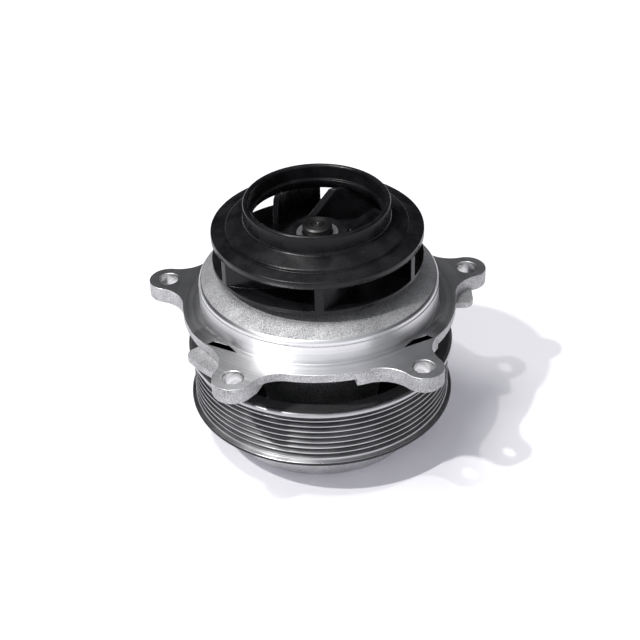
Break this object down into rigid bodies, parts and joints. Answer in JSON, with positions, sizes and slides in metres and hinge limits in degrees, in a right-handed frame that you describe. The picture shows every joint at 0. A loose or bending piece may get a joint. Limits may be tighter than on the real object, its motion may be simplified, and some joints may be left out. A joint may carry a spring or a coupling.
{
  "type": "coolant pump",
  "caption": "Belt-driven engine coolant pump: flanged aluminium housing with a spigot, shrouded plastic impeller on top and a multi-groove belt pulley below.",
  "frame": {"origin": "centre of the spigot in the plane of the flange's front mating land", "axes": "+Z along the pump shaft towards the impeller, -Y towards the pair of lugs on the front mating land"},
  "size_m": [0.1892, 0.1831, 0.1465],
  "materials": {
    "cast_aluminium": "sand-cast walls with turned and milled faces",
    "bearing_steel": "ground and polished",
    "cage_nylon": "glass-filled nylon",
    "seal_rubber": "moulded, matt",
    "stainless_sheet": "pressed stainless sheet",
    "carbon_graphite": "lapped carbon graphite",
    "silicon_carbide": "lapped, dark grey",
    "shaft_steel": "ground",
    "spring_steel": "drawn wire",
    "ring_steel": "black phosphated spring steel",
    "impeller_plastic": "moulded black polymer, satin",
    "insert_steel": "turned",
    "hub_steel": "turned, lightly oiled",
    "pulley_steel": "dark phosphated steel with bright turned grooves",
    "bolt_zinc": "zinc plated"
  },
  "bodies": {
    "pump_body": {"housing": "cast_aluminium", "bearing_sleeve": "bearing_steel", "inner_bearing_seal": "seal_rubber", "outer_bearing_seal": "seal_rubber", "bearing_snap_ring": "ring_steel", "seal_cup": "stainless_sheet", "seal_bellows": "seal_rubber", "seal_spring": "spring_steel", "seal_drive_band": "stainless_sheet", "carbon_ring": "carbon_graphite"},
    "rotor": {"shaft": "shaft_steel", "slinger": "stainless_sheet", "seal_seat_ring": "silicon_carbide", "seal_seat_boot": "seal_rubber", "impeller_insert": "insert_steel", "impeller_body": "impeller_plastic", "impeller_shroud": "impeller_plastic", "pulley_hub": "hub_steel", "pulley": "pulley_steel", "pulley_bolts": "bolt_zinc", "pulley_washers": "bolt_zinc"},
    "ball_row": {"ball_set": "bearing_steel", "ball_cage": "cage_nylon"},
    "roller_row": {"roller_set": "bearing_steel", "roller_cage": "cage_nylon"}
  },
  "joints": [
    {"name": "rotor_spin", "type": "hinge", "parent": "pump_body", "child": "rotor", "pos_m": [0, 0, 0], "axis": [0, 0, 1], "continuous": true},
    {"name": "ball_row_spin", "type": "hinge", "parent": "pump_body", "child": "ball_row", "pos_m": [0, 0, -0.018], "axis": [0, 0, 1], "continuous": true},
    {"name": "roller_row_spin", "type": "hinge", "parent": "pump_body", "child": "roller_row", "pos_m": [0, 0, -0.043], "axis": [0, 0, 1], "continuous": true}
  ],
  "couplings": [
    {"joint": "ball_row_spin", "follows": "rotor_spin", "ratio": 0.36842},
    {"joint": "roller_row_spin", "follows": "rotor_spin", "ratio": 0.3962}
  ]
}
